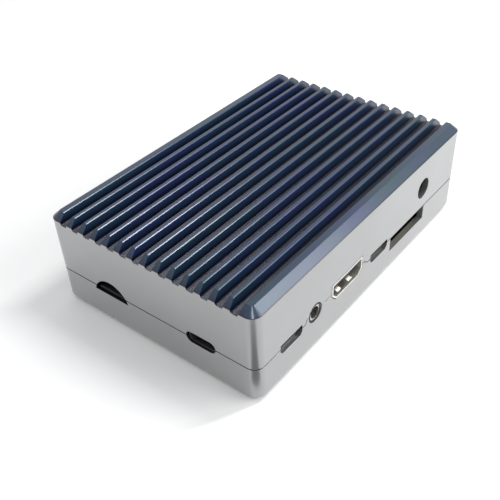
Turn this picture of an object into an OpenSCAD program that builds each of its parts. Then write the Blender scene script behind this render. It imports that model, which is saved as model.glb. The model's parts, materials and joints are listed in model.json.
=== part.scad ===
// Single board computer in a two-piece aluminium case whose finned lid is its heat sink.
// Millimetres. +Z is up, +X runs along the length, and the row of ports faces -Y.
// The origin is at the middle of the footprint, on the surface that the feet stand on.

/* [Case] */
// Length of the case along X
case_l = 105; // [104.6:0.1:106]
// Width of the case along Y
case_w = 70.4; // [70:0.1:71]
// Height of the case without its feet
case_h = 29.8; // [29.8:0.1:32]
// Height of the seam between the two shells above the case's underside
seam_h = 11; // [10.9:0.05:11.1]
// How far the seam steps up around the audio and video ports
seam_step = 1.2; // [0.8:0.1:1.4]
// Thickness of the side walls
wall = 2; // [1.8:0.1:2.2]
// Thickness of the floor
floor_t = 2; // [1.6:0.1:2.4]
// Radius of the four upright corners
corner_r = 3; // [2.5:0.1:3.5]
// Radius of the round along the bottom edges
bottom_r = 1.5; // [1:0.1:1.8]
// How far the rubber feet stand below the case
foot_proud = 0.8; // [0.6:0.1:1.2]

/* [Fins] */
// Number of grooves cut in the lid
groove_count = 14; // [8:1:14]
// Distance from one groove to the next
groove_pitch = 4.5; // [4.3:0.05:4.5]
// Depth of a groove
groove_d = 2.8; // [2:0.1:2.8]
// Width of a groove at its floor
groove_floor_w = 2.2; // [1.6:0.1:2.4]
// Width of a groove at the top of the fins
groove_top_w = 3.45; // [2.8:0.05:3.6]
// Width of the chamfer around the lid, seen from above
lid_chamfer = 2.25; // [1.5:0.05:2.5]
// Height of that chamfer
lid_chamfer_h = 1.9; // [1.5:0.1:2.2]

/* [Board] */
// Length of the circuit board
board_l = 100; // [99.5:0.1:100]
// Width of the circuit board
board_w = 65; // [64.5:0.1:65]
// Thickness of the circuit board
board_t = 1.6; // [1.2:0.1:1.6]
// Height of the board's top above the case's underside
board_h = 9.3; // [9.2:0.05:9.4]
// Distance of the mounting holes from the board's edges
hole_inset = 3.5; // [3.3:0.1:3.7]
// Diameter of the case screws
screw_d = 2.5; // [2:0.1:2.6]

/* [Ports, measured from the case's front left corner] */
// Middle of the first small data port
data_port_a = 14.1; // [13.8:0.1:14.4]
// Middle of the audio jack
audio_port = 24.6; // [24.3:0.1:24.9]
// Middle of the video port
video_port = 40.1; // [39.8:0.1:40.4]
// Middle of the second small data port
data_port_b = 56.9; // [56.6:0.1:57.2]
// Middle of the ribbon cable slot
ribbon_slot = 73.8; // [73.4:0.1:74]
// Middle of the antenna hole
antenna_hole = 82.2; // [81.8:0.1:82.6]
// Height of the antenna hole above the case's underside
antenna_h = 18.2; // [17.5:0.1:18.8]
// Diameter of the antenna hole
antenna_d = 6.6; // [6.4:0.1:6.8]
// Middle of the power socket on the short side
power_port = 17.7; // [17.4:0.1:18]
// Middle of the card opening on the short side
card_port = 49.8; // [49.5:0.1:50.1]

/* [Hidden] */

$fn = 48;
eps = 0.01;          // overshoot of a cut
cut = 1;             // longer overshoot of a cut that runs out of the case

// Heights in the row frame.
z_base = foot_proud;
z_seam = z_base + seam_h;
z_step = z_seam + seam_step;
z_top = z_base + case_h;
z_chamfer = z_top - lid_chamfer_h;
z_groove = z_top - groove_d;
lid_t = 1.9;
z_ceiling = z_groove - lid_t;
z_board = z_base + board_h;
z_under = z_board - board_t;

// The seam is a thin gap under the broken edge of the lid.
seam_gap = 0.24;
seam_edge = 0.1;

// The raised part of the seam runs from beside the audio jack to beside the second data port.
tongue_from = 20.2;
tongue_to = 50.6;
tongue_rise_l = 0.7;  // length of its steep end
tongue_fall_l = 1.9;  // length of its gentle end

// Middle of each port in the row frame.
x_left = -case_l / 2;
y_front = -case_w / 2;
x_data_a = x_left + data_port_a;
x_audio = x_left + audio_port;
x_video = x_left + video_port;
x_data_b = x_left + data_port_b;
x_ribbon = x_left + ribbon_slot;
x_antenna = x_left + antenna_hole;
y_power = y_front + power_port;
y_card = y_front + card_port;

// The four mounting points that the shells and the board share.
post_x = board_l / 2 - hole_inset;
post_y = board_w / 2 - hole_inset;
post_r = 3.1;
foot_x = 38;
foot_y = 25;
foot_r = 4;
foot_seat = 0.8;
screw_head_r = 2.5;
screw_head_h = 1.4;
screw_clear = 0.2;   // radial room in the lower posts and the board
screw_seat = 0.06;   // radial room in the upper posts
screw_reach = 7;     // length of screw above the board

// Processor, memory and their pads.
processor = [-6, 2];
processor_w = 20;
processor_h = 1.6;
processor_pad_t = 0.8;
substrate_t = 0.7;
memory_spots = [[-24.5, 9.5], [-24.5, -5.5]];
memory_size = [10, 12.4, 1];
pedestal_z = z_board + processor_h + processor_pad_t;

// Video port: shell outline, wide at the top.
video_w = 15;
video_h = 5.7;
video_cut = 1.9;     // size of its slanted lower corners
video_z = z_board + 0.1;
video_depth = 11.4;
video_sheet = 0.45;  // thickness of its rolled shell

audio_r = 2.7;
audio_z = z_board + audio_r - 0.1;
audio_bore_r = 1.8;
audio_depth = 12;

data_w = 7.6;
data_h = 2.6;
data_slant = 0.8;
data_depth = 5.4;
data_recess = 1.2;
data_hole = [9.35, 3.2, 1];      // width, height and slanted corner of its opening
data_hole_z = z_base + 9.1;
small_sheet = 0.3;               // thickness of the small shells

power_w = 8.94;
power_h = 3.2;
power_depth = 7.4;
power_recess = 0.8;
power_hole = [9.65, 3.65];
power_hole_z = z_base + 11.1;

card_w = 11;
card_l = 15;
card_t = 0.7;
card_z = z_board + 0.5;
card_end = x_left + 0.9;
card_dome_r = 6.6;
card_dome_top = z_base + 14.4;
card_dome_floor = z_base + 9.6;

ribbon_w = 20.5;
ribbon_floor = z_base + 6.3;
ribbon_body = [19.5, 3.6, 1.7];
ribbon_y = -board_w / 2 + 0.2 + ribbon_body[1] / 2;
latch_r = 0.45;
latch_reach = 1.9;
latch_pin_r = 0.3;
latch_pin_room = 0.05;

jack_size = [21.3, 16, 13.4];
jack_y = -16.5;
usb_size = [17.5, 13.2, 15.4];
usb_ys = [1.6, 17.6];
port_end = case_l / 2;
port_room = 0.25;    // gap between a connector and the edge of its opening

switch_xs = [31.5, 39.5];
switch_size = [4.6, 3.4, 3.4];
switch_front = case_w / 2 - wall - 0.3;
switch_y = switch_front - switch_size[1] / 2;
plunger_r = 1.2;
plunger_hole_r = 1.5;
plunger_z = z_board + 1.75;
plunger_inside = 1.8; // length of plunger inside its switch
plunger_travel = 0.35;

// A box centred on x and y whose underside is at z.
module box(size, x, y, z)
    translate([x - size[0] / 2, y - size[1] / 2, z])
        cube(size);

// A block with round upright corners. Each point of the outline is [distance in from the side, height].
module rounded_block(l, w, r, outline) {
    last = len(outline) - 1;
    for (sx = [-1, 1], sy = [-1, 1])
        translate([sx * (l / 2 - r), sy * (w / 2 - r), 0])
            rotate_extrude()
                polygon(concat([[0, outline[0][1]]], [for (p = outline) [r - p[0], p[1]]],
                               [[0, outline[last][1]]]));
    bar(l - 2 * r, w, outline);
    rotate(90)
        bar(w - 2 * r, l, outline);
}

// A straight bar along X with that outline on both of its long sides.
module bar(l, w, outline)
    translate([-l / 2, 0, 0])
        rotate([90, 0, 90])
            linear_extrude(l)
                polygon(concat([for (p = outline) [w / 2 - p[0], p[1]]],
                               [for (i = [len(outline) - 1:-1:0]) [outline[i][0] - w / 2, outline[i][1]]]));

// Runs its children at the four mounting points.
module at_posts()
    for (sx = [-1, 1], sy = [-1, 1])
        translate([sx * post_x, sy * post_y, 0])
            children();

// A prism along Y, from y, with an outline drawn in X and Z.
module prism_y(y, depth)
    translate([0, y + depth, 0])
        rotate([90, 0, 0])
            linear_extrude(depth)
                children();

// A prism along X, from x, with an outline drawn in Y and Z.
module prism_x(x, depth)
    translate([x, 0, 0])
        rotate([90, 0, 90])
            linear_extrude(depth)
                children();

// Outline of a port that is w by h with slanted lower corners, standing on z.
module port_outline(x, z, w, h, slant, grow = 0)
    polygon([[x - w / 2 - grow, z + h + grow], [x - w / 2 - grow, z + slant - grow / 2],
             [x - w / 2 + slant - grow / 2, z - grow], [x + w / 2 - slant + grow / 2, z - grow],
             [x + w / 2 + grow, z + slant - grow / 2], [x + w / 2 + grow, z + h + grow]]);

// Outline of a slot with round ends, w by h, whose middle is at a height z.
module slot_outline(x, z, w, h) {
    for (s = [-1, 1])
        translate([x + s * (w - h) / 2, z])
            circle(d = h);
    translate([x - (w - h) / 2, z - h / 2])
        square([w - h, h]);
}

// The raised part of the seam on the front wall.
module seam_tongue(grow) {
    gap = grow * seam_gap;
    from = x_left + tongue_from - gap;
    to = x_left + tongue_to + gap;
    root = z_seam - 1;
    prism_y(y_front - cut * grow, wall + cut * grow)
        polygon([[from, root], [from, z_seam], [from + tongue_rise_l, z_step + gap],
                 [to - tongue_fall_l, z_step + gap], [to, z_seam], [to, root]]);
}

// Every opening in the walls, cut alike from both shells.
module wall_openings() {
    front = y_front - cut;
    deep = wall + 2 * cut;
    prism_y(front, deep) {
        for (x = [x_data_a, x_data_b])
            port_outline(x, data_hole_z, data_hole[0], data_hole[1], data_hole[2]);
        port_outline(x_video, video_z, video_w, video_h, video_cut, port_room);
    }
    translate([x_audio, front + deep, audio_z])
        rotate([90, 0, 0])
            cylinder(r = audio_r + port_room, h = deep);
    prism_x(x_left - cut, deep) {
        slot_outline(y_power, power_hole_z, power_hole[0], power_hole[1]);
        intersection() {
            translate([y_card, card_dome_top - card_dome_r])
                circle(r = card_dome_r);
            translate([y_card - card_dome_r, card_dome_floor])
                square([2 * card_dome_r, card_dome_r]);
        }
    }
    room = 2 * port_room;
    box([deep, jack_size[1] + room, jack_size[2] + room], port_end - wall / 2, jack_y, z_board - port_room);
    for (y = usb_ys)
        box([deep, usb_size[1] + room, usb_size[2] + room], port_end - wall / 2, y, z_board - port_room);
    for (x = switch_xs)
        translate([x, -y_front + cut, plunger_z])
            rotate([90, 0, 0])
                cylinder(r = plunger_hole_r, h = deep);
}

module groove()
    translate([x_left - cut, 0, 0])
        rotate([90, 0, 90])
            linear_extrude(case_l + 2 * cut)
                polygon([[-groove_floor_w / 2 + 0.25, z_groove], [groove_floor_w / 2 - 0.25, z_groove],
                         [groove_floor_w / 2, z_groove + 0.25],
                         [groove_top_w / 2 - 0.12, z_top - 0.15], [groove_top_w / 2 + 0.12, z_top + eps],
                         [groove_top_w / 2 + 0.12, z_top + cut], [-groove_top_w / 2 - 0.12, z_top + cut],
                         [-groove_top_w / 2 - 0.12, z_top + eps], [-groove_top_w / 2 + 0.12, z_top - 0.15],
                         [-groove_floor_w / 2, z_groove + 0.25]]);

module upper_shell()
    color("#3a4260")
        difference() {
            union() {
                difference() {
                    rounded_block(case_l, case_w, corner_r,
                                  [[seam_edge, z_seam + seam_gap / 2], [0, z_seam + seam_gap / 2 + seam_edge],
                                   [0, z_chamfer], [lid_chamfer, z_top]]);
                    box([case_l - 2 * wall, case_w - 2 * wall, z_ceiling - z_seam + cut], 0, 0, z_seam - cut);
                }
                at_posts()
                    translate([0, 0, z_board])
                        cylinder(r = post_r, h = z_ceiling - z_board + eps);
                pedestal_h = z_ceiling - pedestal_z + eps;
                box([processor_w + 2, processor_w + 2, pedestal_h], processor[0], processor[1], pedestal_z);
                for (m = memory_spots)
                    box([memory_size[0], memory_size[1], pedestal_h], m[0], m[1], pedestal_z);
            }
            for (i = [0:groove_count - 1])
                translate([0, (i - (groove_count - 1) / 2) * groove_pitch, 0])
                    groove();
            at_posts()
                translate([0, 0, z_board - eps])
                    cylinder(d = screw_d + 2 * screw_seat, h = screw_reach + 1.5);
            seam_tongue(1);
            wall_openings();
            translate([x_antenna, y_front + wall + cut, z_base + antenna_h])
                rotate([90, 0, 0])
                    cylinder(d = antenna_d, h = wall + 2 * cut);
        }

module lower_shell()
    color("#b9bbbe")
        difference() {
            union() {
                difference() {
                    rounded_block(case_l, case_w, corner_r,
                                  concat([for (a = [0:15:90])
                                              [bottom_r * (1 - sin(a)), z_base + bottom_r * (1 - cos(a))]],
                                         [[0, z_seam - seam_gap / 2]]));
                    box([case_l - 2 * wall, case_w - 2 * wall, seam_h], 0, 0, z_base + floor_t);
                }
                seam_tongue(0);
                at_posts()
                    translate([0, 0, z_base + floor_t - eps])
                        cylinder(r = post_r, h = z_under - z_base - floor_t + eps);
            }
            at_posts() {
                translate([0, 0, z_base - cut])
                    cylinder(d = screw_d + 2 * screw_clear, h = board_h + 2 * cut);
                translate([0, 0, z_base - eps])
                    cylinder(r1 = screw_head_r + 0.15, r2 = screw_d / 2 + screw_clear, h = screw_head_h);
            }
            for (sx = [-1, 1], sy = [-1, 1])
                translate([sx * foot_x, sy * foot_y, z_base - eps])
                    cylinder(r = foot_r + 0.1, h = foot_seat + eps);
            box([ribbon_w, wall + 2 * cut, seam_h], x_ribbon, y_front + wall / 2, ribbon_floor);
            wall_openings();
        }

// Countersunk screws that enter from below and draw the lid down onto the board.
module case_screws()
    color("#2b2c2e")
        at_posts()
            translate([0, 0, z_base])
                difference() {
                    union() {
                        cylinder(d = screw_d, h = board_h + screw_reach);
                        translate([0, 0, 0.1])
                            cylinder(r1 = screw_head_r, r2 = screw_d / 2, h = screw_head_h - 0.15);
                    }
                    translate([0, 0, -eps])
                        cylinder(d = 1.75, h = 1.1, $fn = 6);
                }

module rubber_feet()
    color("#1c1c1e")
        for (sx = [-1, 1], sy = [-1, 1])
            translate([sx * foot_x, sy * foot_y, 0]) {
                cylinder(r1 = foot_r - 0.5, r2 = foot_r, h = 0.5);
                translate([0, 0, 0.5])
                    cylinder(r = foot_r, h = foot_proud + foot_seat - 0.5);
            }

module processor_thermal_pad()
    color("#8f9aa8")
        box([processor_w - 2, processor_w - 2, processor_pad_t], processor[0], processor[1],
            z_board + processor_h);

module memory_thermal_pads()
    color("#8f9aa8")
        for (m = memory_spots)
            box([memory_size[0] - 1, memory_size[1] - 1, pedestal_z - z_board - memory_size[2]], m[0], m[1],
                z_board + memory_size[2]);

module circuit_board()
    color("#16315f")
        difference() {
            rounded_block(board_l, board_w, 3, [[0, z_under], [0, z_board]]);
            at_posts()
                translate([0, 0, z_under - cut])
                    cylinder(d = screw_d + 2 * screw_clear, h = board_t + 2 * cut);
        }

module processor_substrate()
    color("#1f4a38")
        box([processor_w, processor_w, substrate_t], processor[0], processor[1], z_board);

module processor_lid()
    color("#b4b6b9")
        difference() {
            box([processor_w - 3, processor_w - 3, processor_h - substrate_t], processor[0], processor[1],
                z_board + substrate_t);
            translate([processor[0] - 7, processor[1] - 7, z_board + processor_h - 0.1])
                cylinder(r = 0.6, h = 1);
        }

// A flat chip with its first pin marked by a dimple.
module chip(size, x, y)
    difference() {
        box(size, x, y, z_board);
        translate([x - size[0] / 2 + 1.1, y - size[1] / 2 + 1.1, z_board + size[2] - 0.1])
            cylinder(r = 0.4, h = 1);
    }

module memory_chips()
    color("#202124")
        for (m = memory_spots)
            chip(memory_size, m[0], m[1]);

module storage_chip()
    color("#202124")
        chip([11.5, 13, 1], 14.5, 14);

module power_management_chip()
    color("#202124")
        chip([7, 7, 0.9], -40.5, -4.5);

module power_inductors()
    color("#55575b")
        for (p = [[-34.4, -12], [-34.4, -6.6], [-41, 2.6], [-35.6, 2.6]])
            box([4.2, 4.2, 2.1], p[0], p[1], z_board);

module network_chip()
    color("#202124")
        chip([6, 6, 0.9], 24.5, -5);

module usb_hub_chip()
    color("#202124")
        chip([6.5, 6.5, 0.9], 26.5, 9.5);

module clock_crystals()
    color("#c9cacc")
        for (p = [[9, -6], [19, -5.5], [21.5, 4.5]])
            box([3.2, 2.5, 0.8], p[0], p[1], z_board);

// Aluminium can capacitors on square plastic bases.
module bulk_capacitors()
    color("#bfc1c4")
        for (p = [[28, 18.5], [28, 1.8], [-40.5, -12]]) {
            box([6.6, 6.6, 0.9], p[0], p[1], z_board);
            translate([p[0], p[1], z_board + 0.9])
                cylinder(r = 3.1, h = 4.6);
        }

// Small two-ended parts in short rows beside the chips: [x, y, how many, across].
ceramic_rows = [[-18.5, -12.5, 8, 0], [-15, 15, 9, 0], [7, -2, 6, 90], [-44.5, -1, 4, 90], [6.5, 22.5, 7, 0],
                [14, -1, 5, 0], [-31.5, 20.5, 6, 0]];
module ceramic_capacitors()
    color("#a58a63")
        for (row = ceramic_rows, i = [0:row[2] - 1])
            translate([row[0], row[1], z_board])
                rotate(row[3])
                    translate([i * 1.9, 0, 0])
                        cube([1, 1.6, 0.8]);

resistor_rows = [[-18.5, -16, 7, 0], [-14, 19, 8, 0], [10.5, 2, 3, 90], [-31.5, 24, 5, 0], [23, 20, 3, 90]];
module chip_resistors()
    color("#26272a")
        for (row = resistor_rows, i = [0:row[2] - 1])
            translate([row[0], row[1], z_board])
                rotate(row[3])
                    translate([i * 1.8, 0, 0])
                        cube([0.8, 1.6, 0.45]);

module status_lights()
    color("#9fd08a")
        for (y = [-4, 0])
            box([0.8, 1.6, 0.7], -48, y, z_board);

wireless = [19.5, -18.5];
module wireless_module()
    color("#1d5a3c")
        box([13, 13, 0.6], wireless[0], wireless[1], z_board);

module wireless_shield()
    color("#c4c6c8")
        difference() {
            box([12, 12, 1.5], wireless[0], wireless[1], z_board + 0.6);
            box([11.6, 11.6, 1.3], wireless[0], wireless[1], z_board + 0.6 - eps);
        }

// Snap sockets for the leads of an aerial.
module antenna_sockets()
    color("#c8a85a")
        for (y = [-22.5, -17.5])
            translate([28.3, y, z_board]) {
                box([2.6, 2.6, 0.4], 0, 0, 0);
                difference() {
                    translate([0, 0, 0.4])
                        cylinder(r = 1, h = 0.9);
                    translate([0, 0, 0.7])
                        cylinder(r = 0.75, h = 1);
                }
                cylinder(r = 0.25, h = 1.2);
            }

pin_pitch = 2.54;
pin_columns = 20;
header_x = -5;
header_y = 28.6;
module pin_header_housing()
    color("#1b1b1d")
        difference() {
            box([pin_columns * pin_pitch, 2 * pin_pitch, 2.5], header_x, header_y, z_board);
            for (i = [1:pin_columns - 1], s = [-1, 1])
                translate([header_x + (i - pin_columns / 2) * pin_pitch, header_y + s * pin_pitch,
                           z_board - cut])
                    cylinder(r = 0.5, h = 5, $fn = 4);
        }

module pin_header_pins()
    color("#c8a85a")
        for (i = [0:pin_columns - 1], s = [-1, 1])
            box([0.64, 0.64, 6], header_x + (i - (pin_columns - 1) / 2) * pin_pitch,
                header_y + s * pin_pitch / 2, z_board + 2.5);

fan = [-38.5, 27.5];
module fan_socket()
    color("#e3ddcb")
        difference() {
            box([6, 4.5, 6], fan[0], fan[1], z_board);
            box([5, 3.5, 6], fan[0], fan[1], z_board + 1);
            box([1.2, 3, 6], fan[0] - 1.2, fan[1] + 2, z_board + 3);
            box([1.2, 3, 6], fan[0] + 1.2, fan[1] + 2, z_board + 3);
        }

module fan_socket_pins()
    color("#c9cacc")
        for (s = [-1, 1])
            box([0.5, 0.5, 4], fan[0] + s, fan[1], z_board + 1);

// Folded metal shell of the video port, with the two spring tongues in its floor.
module video_shell()
    color("#d6d6d2") {
        difference() {
            prism_y(y_front, video_depth)
                port_outline(x_video, video_z, video_w, video_h, video_cut);
            prism_y(y_front - cut, video_depth + cut - 0.3)
                port_outline(x_video, video_z, video_w, video_h, video_cut, -video_sheet);
        }
        for (s = [-1, 1])
            prism_x(x_video + s * 2.7 - 0.9, 1.8)
                polygon([[y_front + 0.8, video_z + video_sheet - eps], [y_front + 2.4, video_z + 0.95],
                         [y_front + 3.4, video_z + video_sheet - eps]]);
    }

video_tongue_z = video_z + 2.35;
module video_insert()
    color("#1b1b1d") {
        prism_y(y_front + 7.5, 3.5)
            port_outline(x_video, video_z, video_w, video_h, video_cut, -video_sheet - 0.05);
        box([11.2, 6.4, 1.2], x_video, y_front + 4.5, video_tongue_z);
    }

module video_contacts()
    color("#c8a85a")
        for (i = [0:9], s = [0, 1])
            if (i < 10 - s)
                box([0.42, 5.4, 0.1], x_video + (i - 4.5 + s / 2), y_front + 4.6,
                    s ? video_tongue_z - 0.1 : video_tongue_z + 1.2);

module audio_body()
    color("#17181a")
        difference() {
            union() {
                box([6.4, audio_depth, 2 * audio_r - 0.2], x_audio, y_front + wall + 0.3 + audio_depth / 2,
                    z_board);
                translate([x_audio, y_front + 2.6, audio_z])
                    rotate([90, 0, 0])
                        cylinder(r = audio_r, h = 2.6);
            }
            translate([x_audio, y_front + 13, audio_z])
                rotate([90, 0, 0])
                    cylinder(r = audio_bore_r, h = 14);
            translate([x_audio, y_front + 2, audio_z])
                rotate([90, 0, 0])
                    cylinder(r = audio_r - 0.35, h = 3);
        }

module audio_sleeve()
    color("#c9cacc")
        difference() {
            translate([x_audio, y_front + 2, audio_z])
                rotate([90, 0, 0])
                    cylinder(r = audio_r - 0.35, h = 1.75);
            translate([x_audio, y_front + 3, audio_z])
                rotate([90, 0, 0])
                    cylinder(r = audio_bore_r, h = 4);
        }

// A small data port: its shell and the insert with its tongue.
data_tongue = [3.6, 4.1, 0.5];
back_t = 1.3;          // thickness of the closed back of a small shell
module data_shell(x)
    difference() {
        prism_y(y_front + data_recess, data_depth)
            port_outline(x, z_board, data_w, data_h, data_slant);
        prism_y(y_front, data_depth + data_recess - back_t)
            port_outline(x, z_board, data_w, data_h, data_slant, -small_sheet);
    }

module data_insert(x)
    box(data_tongue, x, y_front + data_recess + data_depth - back_t - data_tongue[1] / 2, z_board + 1.25);

module data_shell_a()
    color("#c9cacc")
        data_shell(x_data_a);

module data_insert_a()
    color("#1b1b1d")
        data_insert(x_data_a);

module data_shell_b()
    color("#c9cacc")
        data_shell(x_data_b);

module data_insert_b()
    color("#1b1b1d")
        data_insert(x_data_b);

module power_shell()
    color("#c9cacc")
        difference() {
            prism_x(x_left + power_recess, power_depth)
                slot_outline(y_power, z_board + power_h / 2, power_w, power_h);
            prism_x(x_left, power_depth + power_recess - back_t)
                slot_outline(y_power, z_board + power_h / 2, power_w - 2 * small_sheet,
                             power_h - 2 * small_sheet);
        }

power_tongue = [5.3, 6.7, 0.7];
module power_insert()
    color("#1b1b1d")
        box(power_tongue, x_left + power_recess + power_depth - back_t - power_tongue[0] / 2, y_power,
            z_board + (power_h - power_tongue[2]) / 2);

// The card socket: a plastic frame around the card, a folded metal cover over it, and spring contacts.
socket_x = x_left + 2.6;
socket_size = [15.4, 14, 1.9];
module card_socket_frame()
    color("#1b1b1d")
        difference() {
            translate([socket_x, y_card - socket_size[1] / 2, z_board])
                cube([socket_size[0], socket_size[1], socket_size[2] - 0.2]);
            translate([socket_x - cut, y_card - card_w / 2 - 0.15, card_z - 0.1])
                cube([card_end + card_l + 0.3 - socket_x + cut, card_w + 0.3, 3]);
        }

module card_socket_cover()
    color("#c9cacc")
        difference() {
            translate([socket_x + 0.4, y_card - socket_size[1] / 2 - 0.2, z_board])
                cube([socket_size[0] - 0.4, socket_size[1] + 0.4, socket_size[2]]);
            translate([socket_x - cut, y_card - socket_size[1] / 2, z_board - cut])
                cube([socket_size[0] + 2 * cut, socket_size[1], socket_size[2] + cut - 0.2]);
            for (s = [-1, 1])
                box([5, 1.4, 3], socket_x + 9, y_card + s * 4, z_board + 1);
        }

module card_contacts()
    color("#c8a85a")
        for (i = [0:7])
            translate([socket_x + 7.6, y_card + (i - 3.5) * 1.1 - 0.3, card_z - 0.1])
                cube([5, 0.6, 0.08]);

module memory_card()
    color("#151619")
        union() {
            translate([card_end, y_card - card_w / 2, card_z])
                cube([card_l, 9.7, card_t]);
            translate([card_end, y_card - card_w / 2, card_z])
                cube([8.4, card_w, card_t]);
            translate([card_end, y_card - card_w / 2 + 0.5, card_z + card_t - eps])
                cube([1.2, card_w - 1, 0.25 + eps]);
        }

// Ribbon sockets lie along the board's front edge, one on each face of the board.
// d is 1 for the upper one and -1 for the lower one.
module ribbon_side(d)
    translate([0, 0, d > 0 ? z_board : z_under])
        mirror([0, 0, d > 0 ? 0 : 1])
            children();

latch_y = ribbon_y + ribbon_body[1] / 2 - 0.3;
latch_z = ribbon_body[2] - 0.5;
latch_w = ribbon_body[0] - 1;
module latch_pin(r, extra)
    translate([x_ribbon - latch_w / 2 - extra, latch_y, latch_z])
        rotate([0, 90, 0])
            cylinder(r = r, h = latch_w + 2 * extra);

module ribbon_socket(d)
    ribbon_side(d)
        difference() {
            box([ribbon_body[0] + 2, ribbon_body[1], ribbon_body[2]], x_ribbon, ribbon_y, 0);
            box([ribbon_body[0] - 2, 2, 0.5], x_ribbon, ribbon_y - ribbon_body[1] / 2 + 0.9, 0.6);
            box([latch_w + 0.4, 2.4, ribbon_body[2]], x_ribbon, latch_y, latch_z - latch_r - 0.15);
            latch_pin(latch_pin_r + latch_pin_room, 0.9);
        }

// A bar that turns on a pin at each end.
module ribbon_latch(d)
    ribbon_side(d) {
        latch_pin(latch_r, 0);
        latch_pin(latch_pin_r, 0.8);
        translate([x_ribbon - latch_w / 2, latch_y, latch_z - latch_r])
            cube([latch_w, latch_reach, 0.7]);
    }

module ribbon_socket_upper()
    color("#3a3c40")
        ribbon_socket(1);

module ribbon_socket_lower()
    color("#3a3c40")
        ribbon_socket(-1);

module ribbon_latch_upper()
    color("#2a2b2e")
        ribbon_latch(1);

module ribbon_latch_lower()
    color("#2a2b2e")
        ribbon_latch(-1);

// Network jack: a metal shell, a plastic insert with the stepped mouth, and eight spring contacts.
jack_x = port_end - jack_size[0] / 2;
jack_mouth = [11.8, 7.6];
module network_jack_shell()
    color("#c4c6c8")
        difference() {
            box(jack_size, jack_x, jack_y, z_board);
            box([jack_size[0], jack_size[1] - 2 * small_sheet, jack_size[2] - small_sheet + cut],
                jack_x + small_sheet, jack_y, z_board - cut);
        }

module network_jack_insert()
    color("#1b1b1d")
        difference() {
            box([jack_size[0] - 2 * small_sheet, jack_size[1] - 2 * small_sheet, jack_size[2] - small_sheet],
                jack_x + 0.2, jack_y, z_board);
            box([14, jack_mouth[0], jack_mouth[1]], port_end - 7 + 0.1, jack_y, z_board + 4);
            box([14, 6.2, jack_mouth[1]], port_end - 7 + 0.1, jack_y, z_board + 2.4);
            box([14, 3.4, jack_mouth[1]], port_end - 7 + 0.1, jack_y, z_board + 1.2);
        }

module network_jack_contacts()
    color("#c8a85a")
        for (i = [0:7])
            translate([port_end - 13.9, jack_y + (i - 3.5) * 1.02 - 0.22, z_board + 4 + jack_mouth[1]])
                rotate([0, 14, 0])
                    translate([0, 0, -0.35])
                        cube([7, 0.44, 0.3]);

// Two double-decker USB sockets.
usb_x = port_end - usb_size[0] / 2;
usb_mouth = [12.5, 5.1];
usb_decks = [1.1, 9.1];
module usb_stack_shells()
    color("#c9cacc")
        for (y = usb_ys)
            difference() {
                box(usb_size, usb_x, y, z_board);
                for (z = usb_decks)
                    box([14.5, usb_mouth[0], usb_mouth[1]], port_end - 7.2, y, z_board + z);
            }

module usb_stack_inserts()
    color("#2456a8")
        for (y = usb_ys, z = usb_decks)
            box([12, 11, 1.8], port_end - 8.45, y, z_board + z + usb_mouth[1] - 2.3);

module usb_stack_contacts()
    color("#c8a85a")
        for (y = usb_ys, z = usb_decks, i = [0:3])
            box([7, 1, 0.12], port_end - 7.5, y + (i - 1.5) * 2.3, z_board + z + usb_mouth[1] - 2.42);

// Side-push switches at the rear edge, whose plungers reach into holes in the wall.
module switch_body(x)
    difference() {
        box(switch_size, x, switch_y, z_board);
        translate([x, switch_front + cut, plunger_z])
            rotate([90, 0, 0])
                cylinder(r = plunger_r + 0.06, h = cut + plunger_inside + plunger_travel + 0.2);
    }

module switch_plunger(x)
    translate([x, case_w / 2 - 0.3, plunger_z])
        rotate([90, 0, 0])
            cylinder(r = plunger_r, h = case_w / 2 - 0.3 - switch_front + plunger_inside);

module power_switch_body()
    color("#c9cacc")
        switch_body(switch_xs[0]);

module power_switch_plunger()
    color("#1b1b1d")
        switch_plunger(switch_xs[0]);

module reset_switch_body()
    color("#c9cacc")
        switch_body(switch_xs[1]);

module reset_switch_plunger()
    color("#1b1b1d")
        switch_plunger(switch_xs[1]);

lower_shell();
upper_shell();
case_screws();
rubber_feet();
processor_thermal_pad();
memory_thermal_pads();
circuit_board();
processor_substrate();
processor_lid();
memory_chips();
storage_chip();
power_management_chip();
power_inductors();
network_chip();
usb_hub_chip();
clock_crystals();
bulk_capacitors();
ceramic_capacitors();
chip_resistors();
status_lights();
wireless_module();
wireless_shield();
antenna_sockets();
pin_header_housing();
pin_header_pins();
fan_socket();
fan_socket_pins();
video_shell();
video_insert();
video_contacts();
audio_body();
audio_sleeve();
data_shell_a();
data_insert_a();
data_shell_b();
data_insert_b();
power_shell();
power_insert();
card_socket_frame();
card_socket_cover();
card_contacts();
memory_card();
ribbon_socket_upper();
ribbon_latch_upper();
ribbon_socket_lower();
ribbon_latch_lower();
network_jack_shell();
network_jack_insert();
network_jack_contacts();
usb_stack_shells();
usb_stack_inserts();
usb_stack_contacts();
power_switch_body();
power_switch_plunger();
reset_switch_body();
reset_switch_plunger();
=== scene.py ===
"""The looks of the single board computer in its finned aluminium case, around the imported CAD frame."""

import json
import math
import random

import bmesh
import bpy
from mathutils import Matrix, Vector


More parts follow.
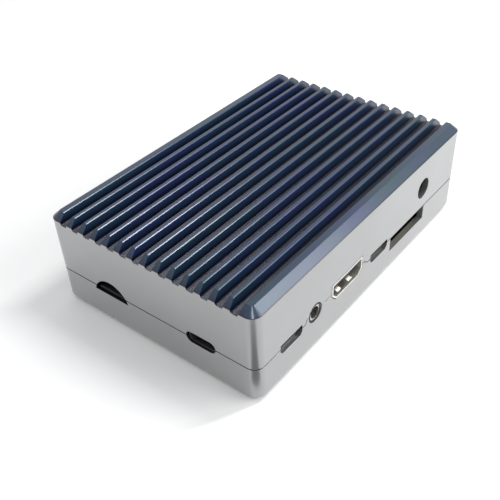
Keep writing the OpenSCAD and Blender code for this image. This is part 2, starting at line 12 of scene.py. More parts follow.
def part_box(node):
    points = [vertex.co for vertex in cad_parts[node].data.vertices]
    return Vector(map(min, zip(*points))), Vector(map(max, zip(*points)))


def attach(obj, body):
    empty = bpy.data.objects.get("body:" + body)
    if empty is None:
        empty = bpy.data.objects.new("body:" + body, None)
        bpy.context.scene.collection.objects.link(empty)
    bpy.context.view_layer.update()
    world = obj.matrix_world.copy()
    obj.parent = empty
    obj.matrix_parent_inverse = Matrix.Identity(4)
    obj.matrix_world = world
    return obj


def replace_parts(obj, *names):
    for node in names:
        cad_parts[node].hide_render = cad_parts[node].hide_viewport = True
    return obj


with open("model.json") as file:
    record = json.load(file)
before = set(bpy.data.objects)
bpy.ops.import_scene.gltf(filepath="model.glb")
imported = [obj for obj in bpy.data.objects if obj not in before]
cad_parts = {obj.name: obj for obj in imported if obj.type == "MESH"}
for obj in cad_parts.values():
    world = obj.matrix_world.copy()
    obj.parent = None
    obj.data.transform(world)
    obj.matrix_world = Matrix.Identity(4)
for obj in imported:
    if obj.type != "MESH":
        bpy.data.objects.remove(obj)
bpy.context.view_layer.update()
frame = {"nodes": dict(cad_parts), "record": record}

MM = 0.001
NODES = frame["nodes"]


# ---------------------------------------------------------------- camera, floor and light

CAMERA_AT = Vector((-140.4, -108.2, 140.6)) * MM
CAMERA_LOOKS_AT = Vector((-19.4, -7.5, 15.0)) * MM
CAMERA_ROLL = math.radians(-3.1)
CAMERA_LENS_MM = 51.7
LIGHTS_AIM_AT = Vector((0, 0, 0.015))
FLOOR_HALF = 12.0
FLOOR_Z = -0.02 * MM
CARD_CORNER = Vector((-52, -34, 0)) * MM
CARD_OUT = Vector((-0.75, -0.66, 0)).normalized()
CARD_FROM, CARD_TO = 5 * MM, 34 * MM
CARD_WIDTH = 26 * MM
CARD_LIFT = Vector((0, 0, 0.3 * MM))


def make_camera():
    data = bpy.data.cameras.new("camera")
    data.lens = CAMERA_LENS_MM
    data.sensor_width = 36
    data.clip_start = 0.005
    data.clip_end = 20
    camera = bpy.data.objects.new("camera", data)
    bpy.context.scene.collection.objects.link(camera)
    turn = (CAMERA_LOOKS_AT - CAMERA_AT).to_track_quat("-Z", "Y").to_matrix().to_4x4()
    camera.matrix_world = Matrix.Translation(CAMERA_AT) @ turn @ Matrix.Rotation(CAMERA_ROLL, 4, "Z")
    bpy.context.scene.camera = camera


def make_area_light(name, at, size, power):
    data = bpy.data.lights.new(name, "AREA")
    data.shape = "RECTANGLE"
    data.size, data.size_y = size
    data.energy = power
    light = bpy.data.objects.new(name, data)
    bpy.context.scene.collection.objects.link(light)
    light.location = at
    light.rotation_euler = (LIGHTS_AIM_AT - Vector(at)).to_track_quat("-Z", "Y").to_euler()


def make_studio():
    world = bpy.data.worlds.new("studio")
    bpy.context.scene.world = world
    world.use_nodes = True
    background = world.node_tree.nodes["Background"]
    background.inputs["Color"].default_value = (0.98, 0.99, 1.0, 1)
    background.inputs["Strength"].default_value = 0.66
    make_area_light("key", (0.42, -0.80, 0.50), (0.7, 0.5), 6.0)
    make_area_light("back", (0.75, 0.5, 0.6), (0.9, 0.9), 0.4)
    make_area_light("strip", (0.30, -0.20, 0.66), (0.04, 0.32), 2.2)
    make_area_light("camera_side", (-0.37, -0.33, 0.65), (0.12, 0.12), 0.8)
    bpy.context.scene.view_settings.view_transform = "Standard"


def flat_sheet(name, corners, look, color, drift, drift_scale):
    """One flat face with a matt finish that drifts a little in tone."""
    mesh = bpy.data.meshes.new(name)
    mesh.from_pydata(corners, [], [(0, 1, 2, 3)])
    sheet = bpy.data.objects.new(name, mesh)
    bpy.context.scene.collection.objects.link(sheet)
    look.vary_color(color, drift, drift_scale)
    look.bump(look.noise(60, 3), 0.0002, 0.05)
    mesh.materials.append(look.material)
    return sheet


def make_floor():
    half, z, pale = FLOOR_HALF, FLOOR_Z, (0.9, 0.9, 0.9)
    corners = [(-half, -half, z), (half, -half, z), (half, half, z), (-half, half, z)]
    floor = flat_sheet("floor", corners, Surface("floor_pale", pale, roughness=0.85), pale, 0.02, 9)


def make_shade_card():
    """A dark card on the floor in front of the near corner, standing in for shade on the floor there.

    Only reflections show it: it paints shade as a darker reflection on the case's upright edge there.
    """
    side = Vector((-CARD_OUT.y, CARD_OUT.x, 0)) * CARD_WIDTH / 2
    near, far = (CARD_CORNER + CARD_OUT * reach + CARD_LIFT for reach in (CARD_FROM, CARD_TO))
    corners = [near - side * 0.5, far - side, far + side, near + side * 0.5]
    grey = (0.13, 0.13, 0.13)
    shade_card = flat_sheet("shade_card", corners, Surface("shade_card_grey", grey, roughness=0.9), grey, 0.04, 30)
    shade_card.visible_camera = False
    shade_card.visible_diffuse = False
    shade_card.visible_shadow = False


# ---------------------------------------------------------------- materials

class Surface:
    """A Principled material whose colour, roughness and relief follow the object's own space."""

    def __init__(self, name, color, metallic=0.0, roughness=0.5, **sockets):
        self.material = bpy.data.materials.new(name)
        self.material.use_nodes = True
        self.tree = self.material.node_tree
        self.shader = self.tree.nodes["Principled BSDF"]
        self.set("Base Color", (*color, 1))
        self.set("Metallic", metallic)
        self.set("Roughness", roughness)
        for socket, value in sockets.items():
            self.set(socket.replace("_", " "), value)
        self.material.diffuse_color = (*color, 1)
        self.place = self.tree.nodes.new("ShaderNodeTexCoord").outputs["Object"]

    def set(self, socket, value):
        self.shader.inputs[socket].default_value = value

    def node(self, kind, **values):
        node = self.tree.nodes.new("ShaderNode" + kind)
        for key, value in values.items():
            setattr(node, key, value)
        return node

    def link(self, a, b):
        self.tree.links.new(a, b)

    def feed(self, value, socket):
        """Sets a socket to a number or colour, or links it to another node's output."""
        if isinstance(value, bpy.types.NodeSocket):
            self.link(value, socket)
        else:
            socket.default_value = value

    def stretched(self, stretch):
        """The object's own coordinates, multiplied along each axis."""
        node = self.node("Mapping")
        self.link(self.place, node.inputs["Vector"])
        node.inputs["Scale"].default_value = stretch
        return node.outputs["Vector"]

    def noise(self, scale, detail=2.0, stretch=None):
        node = self.node("TexNoise")
        self.link(self.stretched(stretch) if stretch else self.place, node.inputs["Vector"])
        node.inputs["Scale"].default_value = scale
        node.inputs["Detail"].default_value = detail
        return node.outputs["Fac"]

    def cells(self, scale):
        node = self.node("TexVoronoi")
        self.link(self.place, node.inputs["Vector"])
        node.inputs["Scale"].default_value = scale
        return node.outputs["Distance"]

    def math(self, operation, a, b=0.0):
        node = self.node("Math", operation=operation)
        self.feed(a, node.inputs[0])
        self.feed(b, node.inputs[1])
        return node.outputs[0]

    def spread(self, value, low, high, from_low=0.0, from_high=1.0):
        """Maps a value's range onto another one."""
        node = self.node("MapRange")
        self.link(value, node.inputs["Value"])
        node.inputs["From Min"].default_value = from_low
        node.inputs["From Max"].default_value = from_high
        node.inputs["To Min"].default_value = low
        node.inputs["To Max"].default_value = high
        return node.outputs["Result"]

    def mix(self, factor, a, b):
        """The first colour where the factor is 0, and the second where it is 1."""
        node = self.node("Mix", data_type="RGBA")
        self.feed(factor, node.inputs["Factor"])
        self.feed((*a, 1) if isinstance(a, tuple) else a, node.inputs[6])
        self.feed((*b, 1) if isinstance(b, tuple) else b, node.inputs[7])
        return node.outputs[2]

    def axis(self, letter, of="place"):
        """One coordinate of the place on the object, in metres, or of the way the face points."""
        node = self.node("SeparateXYZ")
        source = self.place if of == "place" else self.node("NewGeometry").outputs["True Normal"]
        self.link(source, node.inputs[0])
        return node.outputs[letter]

    def vary_color(self, color, amount, scale, stretch=None):
        """Lets the colour drift a little lighter and darker over the surface."""
        dark = tuple(c * (1 - amount) for c in color)
        light = tuple(min(1.0, c * (1 + amount)) for c in color)
        drift = self.spread(self.noise(scale, 3, stretch), 0, 1, 0.3, 0.7)
        self.link(self.mix(drift, dark, light), self.shader.inputs["Base Color"])

    def vary_roughness(self, low, high, scale, stretch=None):
        value = self.spread(self.noise(scale, 3, stretch), low, high, 0.3, 0.7)
        self.link(value, self.shader.inputs["Roughness"])

    def bump(self, height, distance, strength):
        """Fine relief, laid over any normal that the shader already has."""
        node = self.node("Bump")
        node.inputs["Strength"].default_value = strength
        node.inputs["Distance"].default_value = distance
        self.link(height, node.inputs["Height"])
        if self.shader.inputs["Normal"].is_linked:
            self.link(self.shader.inputs["Normal"].links[0].from_socket, node.inputs["Normal"])
        self.link(node.outputs["Normal"], self.shader.inputs["Normal"])


SILVER = (0.345, 0.347, 0.35)
SILVER_DULL = (0.32, 0.322, 0.325)
FIN_NAVY = (0.012, 0.025, 0.090)
FIN_TEAL = (0.008, 0.036, 0.062)
# darkest fin blue: painted shade at the groove floors, also used for a band along the chamfer's foot
FIN_DEEP = (0.0015, 0.004, 0.020)
# dark inside colour of the case: painted shade in its openings and seam gap, spread over the whole inside
CASE_INSIDE_SHADE = (0.016, 0.018, 0.034)
CASE_LOW, CASE_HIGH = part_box("lower_shell")[0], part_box("upper_shell")[1]
CORNER_R = 3.0 * MM
SKIN = 0.06 * MM
EDGE_R = 0.16 * MM
FRONT_WALL = 1.9 * MM
SEAM_Z = 11.8 * MM
SEAM_STEP_Z = 13.0 * MM
LIP = 0.25 * MM
BOTTOM_SKIN_H = 1.55 * MM
LID_CHAMFER_H = 1.9 * MM
GROOVE_D = 2.8 * MM
SHOULDER_W = 3.2 * MM
FIN_END_INSET = 0.03 * MM
DARK_BELOW_CHAMFER = 0.18 * MM
RIM_FROM, RIM_TO = 0.12 * MM, 0.3 * MM


def front_sills(look):
    """1 in the thickness of the front wall, whose openings show bare metal, except along the seam, whose gap
    keeps the painted inside shade.
    """
    z = look.axis("Z")
    in_wall = look.math("LESS_THAN", look.axis("Y"), CASE_LOW.y + FRONT_WALL)
    between_corners = look.math("LESS_THAN", look.math("ABSOLUTE", look.axis("X")), CASE_HIGH.x - CORNER_R)
    below = look.math("LESS_THAN", z, SEAM_Z - LIP)
    over = look.math("GREATER_THAN", z, SEAM_STEP_Z + LIP)
    off_seam = look.math("MAXIMUM", below, over)
    return look.math("MULTIPLY", look.math("MULTIPLY", in_wall, between_corners), off_seam)


def outer_skin(look):
    """1 on the case's outside, and 0 inside it and in its openings, which get the dark inside colour as
    painted shade.

    The outside is told by how near the surface is to the case's rounded outline.
    """
    def reach(letter, high):
        beyond = look.math("SUBTRACT", look.math("ABSOLUTE", look.axis(letter)), high - CORNER_R)
        return beyond, look.math("POWER", look.math("MAXIMUM", beyond, 0.0), 2.0)
    x, x2 = reach("X", CASE_HIGH.x)
    y, y2 = reach("Y", CASE_HIGH.y)
    round_part = look.math("SQRT", look.math("ADD", x2, y2))
    flat_part = look.math("MINIMUM", look.math("MAXIMUM", x, y), 0.0)
    near_side = look.math("GREATER_THAN", look.math("ADD", round_part, flat_part), CORNER_R - SKIN)
    near_side = look.math("MAXIMUM", near_side, front_sills(look))
    near_bottom = look.math("LESS_THAN", look.axis("Z"), CASE_LOW.z + BOTTOM_SKIN_H)
    near_top = look.math("GREATER_THAN", look.axis("Z"), CASE_HIGH.z - GROOVE_D - 0.5 * MM)
    return look.math("MAXIMUM", look.math("MAXIMUM", near_side, near_bottom), near_top)


def anodised(look, outside):
    """Finishes a case shell: a fine blasted grain, soft drifts in tone, and a dark inside colour that is
    painted shade in its openings and seam gap.
    """
    look.set("Coat Weight", 0.8)
    look.set("Coat Roughness", 0.22)
    # inside the case, in its openings and in the seam gap, the colour is painted shade
    look.link(look.mix(outer_skin(look), CASE_INSIDE_SHADE, outside), look.shader.inputs["Base Color"])
    look.vary_roughness(0.29, 0.36, 60)
    soft_edge = look.node("Bevel", samples=6)
    soft_edge.inputs["Radius"].default_value = EDGE_R
    look.link(soft_edge.outputs["Normal"], look.shader.inputs["Normal"])
    look.bump(look.noise(3800, 2), 0.00002, 0.16)
    return look.material


def drifting(look, one, other):
    """A colour that wanders softly between two others over the surface."""
    return look.mix(look.spread(look.noise(35, 3), 0, 1, 0.35, 0.65), one, other)


def case_silver():
    look = Surface("case_silver", SILVER, metallic=0.85)
    return anodised(look, drifting(look, SILVER_DULL, SILVER))


def case_two_tone():
    """Silver side walls, with a dark blue finish on the chamfer, the fins and the grooves. Painted shade
    darkens the blue towards the groove floors, and a band along the chamfer's foot is darker too.
    """
    look = Surface("case_two_tone", FIN_NAVY, metallic=0.85)
    z = look.axis("Z")
    foot = CASE_HIGH.z - LID_CHAMFER_H
    groove_floor = CASE_HIGH.z - GROOVE_D
    from_middle = {letter: look.math("ABSOLUTE", look.axis(letter)) for letter in "XY"}
    above = look.math("GREATER_THAN", z, foot - DARK_BELOW_CHAMFER)
    in_groove = look.math("GREATER_THAN", z, groove_floor - 0.05 * MM)
    inside_x = look.math("LESS_THAN", from_middle["X"], CASE_HIGH.x - FIN_END_INSET)
    inside_y = look.math("LESS_THAN", from_middle["Y"], CASE_HIGH.y - SHOULDER_W)
    grooves = look.math("MULTIPLY", look.math("MULTIPLY", in_groove, inside_x), inside_y)
    dark = look.math("MAXIMUM", above, grooves)
    # painted shade: the blue darkens towards the groove floors; a band along the chamfer's foot gets the same
    # dark blue
    depth = look.spread(z, 1, 0, groove_floor, CASE_HIGH.z - 0.5 * MM)
    rim = look.spread(z, 1, 0, foot + RIM_FROM, foot + RIM_TO)
    shade = look.math("MAXIMUM", look.math("MULTIPLY", depth, inside_y), rim)
    blue = look.mix(shade, drifting(look, FIN_NAVY, FIN_TEAL), FIN_DEEP)
    look.link(look.spread(dark, 0.85, 0.3), look.shader.inputs["Metallic"])
    return anodised(look, look.mix(dark, drifting(look, SILVER_DULL, SILVER), blue))


def plain_plastic(name, color, roughness=0.5):
    look = Surface(name, color, roughness=roughness)
    look.vary_color(color, 0.12, 220)
    look.vary_roughness(roughness - 0.07, roughness + 0.07, 500)
    look.bump(look.noise(9000, 2), 0.00001, 0.2)
    return look.material


def plated(name, color, roughness=0.28, stretch=(1, 1, 12)):
    """Stamped and plated metal with a faint rolling grain."""
    look = Surface(name, color, metallic=1.0, roughness=roughness)
    look.vary_color(color, 0.03, 120, stretch=stretch)
    look.vary_roughness(roughness - 0.03, roughness + 0.04, 250, stretch=stretch)
    look.bump(look.noise(6000, 2, stretch=stretch), 0.000004, 0.1)
    return look.material


def rubber():
    look = Surface("rubber_black", (0.02, 0.02, 0.022), roughness=0.8)
    look.vary_color((0.022, 0.022, 0.024), 0.25, 400)
    look.bump(look.noise(3000, 4), 0.00005, 0.4)
    return look.material


def thermal_pad():
    color = (0.22, 0.29, 0.40)
    look = Surface("thermal_pad", color, roughness=0.9)
    look.vary_color(color, 0.15, 900)
    look.bump(look.cells(2200), 0.00004, 0.4)
    return look.material


def solder_mask():
    """Blue lacquer over copper, with bare laminate at the board's cut edge."""
    color = (0.008, 0.03, 0.12)
    look = Surface("board_blue", color, roughness=0.3, Coat_Weight=0.6, Coat_Roughness=0.12)
    pour = look.spread(look.noise(180, 1), 0, 1, 0.48, 0.5)
    mask = look.mix(pour, tuple(c * 0.7 for c in color), tuple(c * 1.5 for c in color))
    flat = look.math("GREATER_THAN", look.math("ABSOLUTE", look.axis("Z", "normal")), 0.5)
    edge = look.mix(look.noise(1500, 3, stretch=(1, 1, 30)), (0.30, 0.24, 0.10), (0.45, 0.38, 0.18))
    look.link(look.mix(flat, edge, mask), look.shader.inputs["Base Color"])
    look.vary_roughness(0.24, 0.36, 700)
    look.bump(look.noise(1400, 1, stretch=(1, 1.02, 1)), 0.00001, 0.2)
    return look.material


def chip_epoxy():
    color = (0.018, 0.019, 0.021)
    look = Surface("chip_black", color, roughness=0.55)
    look.vary_color(color, 0.2, 500)
    look.bump(look.noise(7000, 3), 0.000012, 0.35)
    return look.material


def glow(name, color):
    look = Surface(name, color, roughness=0.25, Transmission_Weight=0.5, IOR=1.5)
    look.vary_color(color, 0.1, 800)
    return look.material


def make_materials():
    plain = {
        "connector_black": ((0.02, 0.02, 0.022), 0.5),
        "connector_ivory": ((0.72, 0.66, 0.52), 0.45),
        "connector_blue": ((0.02, 0.09, 0.38), 0.42),
        "connector_grey": ((0.20, 0.21, 0.225), 0.48),
        "card_black": ((0.014, 0.014, 0.017), 0.4),
        "resistor_black": ((0.02, 0.02, 0.024), 0.3),
        "ceramic_tan": ((0.36, 0.24, 0.13), 0.55),
        "substrate_green": ((0.015, 0.09, 0.05), 0.4),
        "ferrite": ((0.09, 0.09, 0.10), 0.6),
        "print_white": ((0.62, 0.64, 0.66), 0.6),
        "trace_blue": ((0.012, 0.055, 0.20), 0.3),
    }
    looks = {name: plain_plastic(name, color, rough) for name, (color, rough) in plain.items()}
    looks["case_silver"] = case_silver()
    looks["case_dark"] = case_two_tone()
    looks["steel_dark"] = plated("steel_dark", (0.10, 0.10, 0.11), 0.35)
    looks["nickel"] = plated("nickel", (0.66, 0.65, 0.62))
    looks["nickel_bright"] = plated("nickel_bright", (0.9, 0.89, 0.84), 0.34)
    looks["nickel_dark"] = plated("nickel_dark", (0.34, 0.34, 0.35), 0.35)
    looks["gold"] = plated("gold", (0.83, 0.58, 0.22), 0.22)
    looks["capacitor_can"] = plated("capacitor_can", (0.72, 0.73, 0.75), 0.3, (1, 1, 1))
    looks["rubber_black"] = rubber()
    looks["thermal_pad"] = thermal_pad()
    looks["board_blue"] = solder_mask()
    looks["chip_black"] = chip_epoxy()
    looks["light_green"] = glow("light_green", (0.45, 0.8, 0.4))
    looks["light_amber"] = glow("light_amber", (0.9, 0.5, 0.12))
    return looks


def dress_nodes(looks):
    for row in frame["record"]["subparts"]:
        for slot in NODES[row["node"]].material_slots:
            slot.material = looks[row["material_slot"]]


# ---------------------------------------------------------------- detail pieces

class Detail:
    """A mesh built from small blocks, discs and strips, each with one of the piece's finishes."""

    def __init__(self, name, *slots):
        self.name = name
        self.slots = slots
        self.mesh = bmesh.new()

    def block(self, low, high, slot=0, round_by=0.0):
        low, high = Vector(low), Vector(high)
        verts = bmesh.ops.create_cube(self.mesh, size=1.0)["verts"]
        bmesh.ops.scale(self.mesh, vec=high - low, verts=verts)
        bmesh.ops.translate(self.mesh, vec=(low + high) / 2, verts=verts)
        for face in {f for v in verts for f in v.link_faces}:
            face.material_index = slot
        if round_by:
            edges = list({e for v in verts for e in v.link_edges})
            bmesh.ops.bevel(self.mesh, geom=edges, offset=round_by, segments=2, affect="EDGES", profile=0.5)

    def disc(self, at, radius, height, slot=0):
        made = bmesh.ops.create_cone(self.mesh, cap_ends=True, segments=12, radius1=radius, radius2=radius,
                                     depth=height)
        bmesh.ops.translate(self.mesh, vec=Vector(at) + Vector((0, 0, height / 2)), verts=made["verts"])
        for face in {f for v in made["verts"] for f in v.link_faces}:
            face.material_index = slot

    def ring(self, at, inner, outer, height, segments=12):
        """A flat washer whose underside is at a height."""
        at = Vector(at)
        rings = []
        for i in range(segments):
            a = math.tau * i / segments
            out = Vector((math.cos(a), math.sin(a), 0))
            up = Vector((0, 0, height))
            rings.append([self.mesh.verts.new(at + p)
                          for p in (out * inner, out * outer, out * outer + up, out * inner + up)])
        for i in range(segments):
            a, b = rings[i], rings[(i + 1) % segments]
            for j in range(4):
                k = (j + 1) % 4
                self.mesh.faces.new((a[j], b[j], b[k], a[k]))

    def track(self, points, width, height):
        """A flat strip along straight lines, rising from the first point's height."""
        half = width / 2
        for a, b in zip(points, points[1:]):
            a, b = Vector(a), Vector(b)
            along = (b - a).normalized()
            side = Vector((-along.y, along.x, 0)) * half
            up = Vector((0, 0, height))
            a, b = a - along * half, b + along * half
            low = [self.mesh.verts.new(p) for p in (a - side, b - side, b + side, a + side)]
            high = [self.mesh.verts.new(v.co + up) for v in low]
            sides = [(low[i], low[(i + 1) % 4], high[(i + 1) % 4], high[i]) for i in range(4)]
            for face in [low[::-1], high] + sides:
                self.mesh.faces.new(face)

    def finish(self, looks, body="base"):
        bmesh.ops.recalc_face_normals(self.mesh, faces=self.mesh.faces)
        mesh = bpy.data.meshes.new(self.name)
        self.mesh.to_mesh(mesh)
        self.mesh.free()
        for slot in self.slots:
            mesh.materials.append(looks[slot])
        piece = bpy.data.objects.new(self.name, mesh)
        bpy.context.scene.collection.objects.link(piece)
        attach(piece, body)
        return piece


def solids_of(node):
    """The low and high corner of each separate solid of a CAD node."""
    mesh = bmesh.new()
    mesh.from_mesh(NODES[node].data)
    bmesh.ops.remove_doubles(mesh, verts=mesh.verts, dist=1e-6)
    todo, found = set(mesh.verts), []
    while todo:
        reached, waiting = set(), [todo.pop()]
        while waiting:
            vert = waiting.pop()
            reached.add(vert)
            for edge in vert.link_edges:
                other = edge.other_vert(vert)
                if other in todo:
                    todo.remove(other)
                    waiting.append(other)
        points = [v.co for v in reached]
        found.append((Vector([min(p[i] for p in points) for i in range(3)]),
                      Vector([max(p[i] for p in points) for i in range(3)])))
    mesh.free()
    return sorted(found, key=lambda corners: tuple(round(c, 6) for c in corners[0]))


BOARD_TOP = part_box("circuit_board")[1].z
FILM = 0.03 * MM
BODY_INSET = 0.03 * MM


def two_ended_parts(node, body_slot, cap_share, looks):
    """Chip capacitors and resistors: each gets a body and two tinned end caps."""
    detail = Detail(node + "_detailed", body_slot, "nickel")
    for low, high in solids_of(node):
        size = high - low
        along = 0 if size.x > size.y else 1
        across = 1 - along
        cap = size[along] * cap_share
        body_low, body_high = low.copy(), high.copy()
        body_low[along] += cap
        body_high[along] -= cap
        body_low[across] += BODY_INSET
        body_high[across] -= BODY_INSET
        body_high.z -= BODY_INSET
        detail.block(body_low, body_high, 0, 0.03 * MM)
        low_cap_end, high_cap_start = high.copy(), low.copy()
        low_cap_end[along] = low[along] + cap
        high_cap_start[along] = high[along] - cap
        detail.block(low, low_cap_end, 1, 0.06 * MM)
        detail.block(high_cap_start, high, 1, 0.06 * MM)
    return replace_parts(detail.finish(looks), node)


def chip_leads(name, node, count, looks):
    """Solder fillets around a flat chip's four sides."""
    detail = Detail(name, "nickel")
    lead_w, reach, lead_h, overlap = (v * MM for v in (0.26, 0.5, 0.22, 0.1))
    for low, high in solids_of(node):
        middle = (low + high) / 2
        for side in (0, 1):
            across = 1 - side
            room = (high - low)[side] - 1.2 * MM
            for i in range(count):
                at = middle[side] + room * (i / (count - 1) - 0.5)
                for sign in (-1, 1):
                    edge = high[across] if sign > 0 else low[across]
                    a, b = Vector(), Vector()
                    a[side], b[side] = at - lead_w / 2, at + lead_w / 2
                    ends = edge - sign * overlap, edge + sign * (reach - overlap)
                    a[across], b[across] = sorted(ends)
                    a.z, b.z = BOARD_TOP, BOARD_TOP + lead_h
                    detail.block(a, b, 0, 0.04 * MM)
    return detail.finish(looks)


def component_boxes():
    """Footprints of everything that stands on the board, where copper detail keeps out."""
    skip = {"circuit_board", "lower_shell", "upper_shell", "rubber_feet", "case_screws"}
    boxes = []
    for row in frame["record"]["subparts"]:
        if row["node"] in skip:
            continue
        boxes += [(a, b) for a, b in solids_of(row["node"]) if b.z > BOARD_TOP]
    return boxes


def is_free(point, boxes, room):
    """Whether a point on the board keeps its distance from every box."""
    return all(point.x < a.x - room or point.x > b.x + room or point.y < a.y - room or point.y > b.y + room
               for a, b in boxes)


def board_copper(looks):
    """Traces with 45-degree bends, plated vias, and bare rings around the mounting holes."""
    rng = random.Random(7)
    boxes = component_boxes()
    low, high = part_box("circuit_board")
    traces = Detail("board_traces", "trace_blue")
    vias = Detail("board_vias", "gold", "connector_black")
    hole_r, via_r, lane_pitch = 0.14 * MM, 0.3 * MM, 0.45 * MM
    post_margin = Vector((4.2 * MM / 2,) * 3)
    posts = [(a - post_margin, b + post_margin) for a, b in solids_of("case_screws")]

    def add_via(point):
        at = (point.x, point.y, BOARD_TOP)
        vias.ring(at, hole_r, via_r, FILM)
        vias.disc(at, hole_r, FILM / 2, 1)

    def any_point():
        return Vector((rng.uniform(low.x, high.x), rng.uniform(low.y, high.y), BOARD_TOP))

    def is_open(point, room):
        inside = low.x + MM < point.x < high.x - MM and low.y + MM < point.y < high.y - MM
        return inside and is_free(point, boxes, room) and is_free(point, posts, 0)

    def lane(start, run, jog, along_x):
        """A trace that goes straight, steps aside at 45 degrees and goes on."""
        straight = Vector((run, 0, 0)) if along_x else Vector((0, run, 0))
        bend = Vector((abs(jog), jog, 0)) if along_x else Vector((jog, abs(jog), 0))
        points = [start]
        for step in (straight, bend, straight):
            points.append(points[-1] + step)
        return points

    def is_clear(points):
        return all(is_open(a.lerp(b, i / 8), 0.35 * MM) for a, b in zip(points, points[1:]) for i in range(9))

    for _ in range(170):
        start = any_point()
        along_x = rng.randint(0, 1) == 0
        run = rng.uniform(1.2, 5.0) * MM
        jog = rng.choice((-1, 1)) * rng.uniform(0.6, 2.4) * MM
        for lane_index in range(rng.randint(1, 5)):
            aside = lane_pitch * lane_index
            points = lane(start + Vector((0, aside, 0) if along_x else (aside, 0, 0)), run, jog, along_x)
            if is_clear(points):
                traces.track(points, 0.18 * MM, FILM / 2)
                add_via(points[rng.choice((0, -1))])
    for _ in range(260):
        point = any_point()
        if is_open(point, 0.5 * MM):
            add_via(point)
    for a, b in solids_of("case_screws"):
        middle = (a + b) / 2
        vias.ring((middle.x, middle.y, BOARD_TOP), 1.5 * MM, 3.0 * MM, FILM, 40)
    return traces.finish(looks), vias.finish(looks)


def board_outlines(looks):
    """Printed outlines around the chips and sockets, with a corner dot for the first pin."""
    detail = Detail("board_outlines", "print_white")
    chips = ("memory_chips", "storage_chip", "power_management_chip", "network_chip", "usb_hub_chip",
             "power_inductors", "bulk_capacitors", "wireless_module", "fan_socket", "pin_header_housing",
             "processor_substrate")
    gap = 0.55 * MM
    for node in chips:
        for a, b in solids_of(node):
            xs, ys = (a.x - gap, b.x + gap), (a.y - gap, b.y + gap)
            leg = min(xs[1] - xs[0], ys[1] - ys[0]) * 0.28
            for x, dx in ((xs[0], leg), (xs[1], -leg)):
                for y, dy in ((ys[0], leg), (ys[1], -leg)):
                    corner = [(x + dx, y, BOARD_TOP), (x, y, BOARD_TOP), (x, y + dy, BOARD_TOP)]
                    detail.track(corner, 0.14 * MM, FILM)
            detail.disc((xs[0] - 0.3 * MM, ys[0] - 0.3 * MM, BOARD_TOP), 0.2 * MM, FILM)
    return detail.finish(looks)


def can_tops(looks):
    """The dark polarity segment on top of each can capacitor."""
    detail = Detail("capacitor_marks", "connector_black")
    radius, steps = 2.75 * MM, 16
    start = math.acos(-0.45)
    for low, high in solids_of("bulk_capacitors"):
        if high.z - low.z < 2 * MM:
            continue
        middle = (low + high) / 2
        points = []
        for i in range(steps + 1):
            a = start + (math.tau - 2 * start) * i / steps
            points.append(Vector((middle.x + radius * math.cos(a), middle.y + radius * math.sin(a), high.z)))
        bottom = [detail.mesh.verts.new(p) for p in points]
        upper = [detail.mesh.verts.new(p + Vector((0, 0, FILM))) for p in points]
        detail.mesh.faces.new(upper)
        detail.mesh.faces.new(bottom[::-1])
        for i in range(len(points)):
            j = (i + 1) % len(points)
            detail.mesh.faces.new((bottom[i], bottom[j], upper[j], upper[i]))
    return detail.finish(looks)


def strip_contacts(name, node, count, looks, along, on_top):
    """Spring contacts on a socket's tongue. They run along one axis, on its upper or lower face."""
    detail = Detail(name, "gold")
    low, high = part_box(node)
    across = 1 - along
    room = (high - low)[across] * 0.72
    sunk, proud = 0.02 * MM, 0.06 * MM
    pitch = room / (count - 1)
    for i in range(count):
        at = (low + high)[across] / 2 + room * (i / (count - 1) - 0.5)
        a, b = low.copy(), high.copy()
        a[across], b[across] = at - pitch * 0.28, at + pitch * 0.28
        a[along] += 0.25 * MM
        b[along] -= 0.6 * MM
        a.z = high.z - sunk if on_top else low.z - proud
        b.z = high.z + proud if on_top else low.z + sunk
        detail.block(a, b, 0, 0.015 * MM)
    return detail.finish(looks)


def socket_legs(name, node, count, looks):
    """A row of solder tails at the back of a ribbon socket."""
    detail = Detail(name, "nickel")
    low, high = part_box(node)
    half_w, thick, end_margin = 0.13 * MM, 0.2 * MM, 2.2 * MM
    over_board = low.z >= BOARD_TOP - 0.1 * MM
    bottom = low.z if over_board else high.z - thick
    for i in range(count):
        x = low.x + end_margin + (high.x - low.x - 2 * end_margin) * i / (count - 1)
        detail.block((x - half_w, high.y - 0.1 * MM, bottom),
                     (x + half_w, high.y + 0.55 * MM, bottom + thick), 0, 0.03 * MM)
    return detail.finish(looks)


def jack_lights(looks):
    """The two small light windows in the network jack's face."""
    detail = Detail("network_jack_lights", "light_green", "light_amber")
    low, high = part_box("network_jack_shell")
    for slot, sign in ((0, -1), (1, 1)):
        y = (low.y + high.y) / 2 + sign * 5.9 * MM
        detail.block((high.x - 0.5 * MM, y - 1.3 * MM, low.z + 1.0 * MM),
                     (high.x - 0.06 * MM, y + 1.3 * MM, low.z + 2.4 * MM), slot, 0.12 * MM)
    return detail.finish(looks)


def card_pads(looks):
    """The gold pads under the inner end of the memory card."""
    detail = Detail("memory_card_pads", "gold")
    low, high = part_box("memory_card")
    count, pad_w, pad_l = 8, 0.75 * MM, 2.6 * MM
    first, last = low.y + 0.9 * MM, low.y + 8.8 * MM
    inner_end = high.x - 0.6 * MM
    for i in range(count):
        y = first + (last - first) * i / (count - 1)
        detail.block((inner_end - pad_l, y - pad_w / 2, low.z), (inner_end, y + pad_w / 2, low.z + FILM))
    return detail.finish(looks, "memory_card")


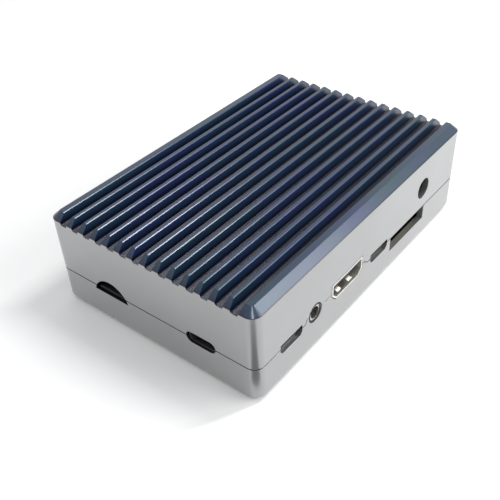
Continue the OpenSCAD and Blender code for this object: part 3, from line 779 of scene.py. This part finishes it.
def shield_details(looks):
    """A soldered rim around the radio's metal can, and the feed pads of its aerial sockets."""
    detail = Detail("shield_rim", "nickel_dark", "gold")
    low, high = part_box("wireless_shield")
    rim_w = 0.3 * MM
    left, right = low.x - rim_w / 2, high.x + rim_w / 2
    near, far = low.y - rim_w / 2, high.y + rim_w / 2
    outline = (left, near), (right, near), (right, far), (left, far), (left, near)
    detail.track([(x, y, low.z) for x, y in outline], rim_w, 0.2 * MM)
    for a, b in solids_of("antenna_sockets"):
        middle = (a + b) / 2
        for sign in (-1, 1):
            y = middle.y + sign * 1.35 * MM
            detail.block((middle.x - 0.9 * MM, y - 0.25 * MM, BOARD_TOP),
                         (middle.x + 0.9 * MM, y + 0.25 * MM, BOARD_TOP + 0.12 * MM), 1, 0.03 * MM)
    return detail.finish(looks)


def header_joints(looks):
    """Stepped solder joints under the board at every pin of the header."""
    detail = Detail("header_joints", "nickel")
    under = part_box("circuit_board")[0].z
    for a, b in solids_of("pin_header_pins"):
        middle = (a + b) / 2
        detail.disc((middle.x, middle.y, under - 0.55 * MM), 0.62 * MM, 0.6 * MM)
        detail.disc((middle.x, middle.y, under - 0.9 * MM), 0.3 * MM, 0.4 * MM)
    return detail.finish(looks)


def usb_springs(looks):
    """The bent tongues in the floor of each USB mouth, which grip a plug."""
    detail = Detail("usb_springs", "nickel_bright")
    for low, high in solids_of("usb_stack_inserts"):
        middle = (low + high) / 2
        floor = high.z - 4.6 * MM
        for sign in (-1, 1):
            y = middle.y + sign * 2.8 * MM
            detail.block((high.x - 5.5 * MM, y - 0.9 * MM, floor - 0.05 * MM),
                         (high.x - 1.2 * MM, y + 0.9 * MM, floor + 0.35 * MM), 0, 0.15 * MM)
    return detail.finish(looks)


def add_details(looks):
    card_pads(looks)
    shield_details(looks)
    header_joints(looks)
    usb_springs(looks)
    two_ended_parts("ceramic_capacitors", "ceramic_tan", 0.22, looks)
    two_ended_parts("chip_resistors", "resistor_black", 0.2, looks)
    chip_leads("power_chip_leads", "power_management_chip", 11, looks)
    chip_leads("network_chip_leads", "network_chip", 9, looks)
    chip_leads("usb_hub_chip_leads", "usb_hub_chip", 10, looks)
    board_copper(looks)
    board_outlines(looks)
    can_tops(looks)
    strip_contacts("data_contacts_a", "data_insert_a", 5, looks, along=1, on_top=False)
    strip_contacts("data_contacts_b", "data_insert_b", 5, looks, along=1, on_top=False)
    strip_contacts("power_contacts_upper", "power_insert", 12, looks, along=0, on_top=True)
    strip_contacts("power_contacts_lower", "power_insert", 12, looks, along=0, on_top=False)
    socket_legs("ribbon_legs_upper", "ribbon_socket_upper", 30, looks)
    socket_legs("ribbon_legs_lower", "ribbon_socket_lower", 30, looks)
    jack_lights(looks)


make_camera()
make_studio()
make_floor()
make_shade_card()
looks = make_materials()
dress_nodes(looks)
add_details(looks)
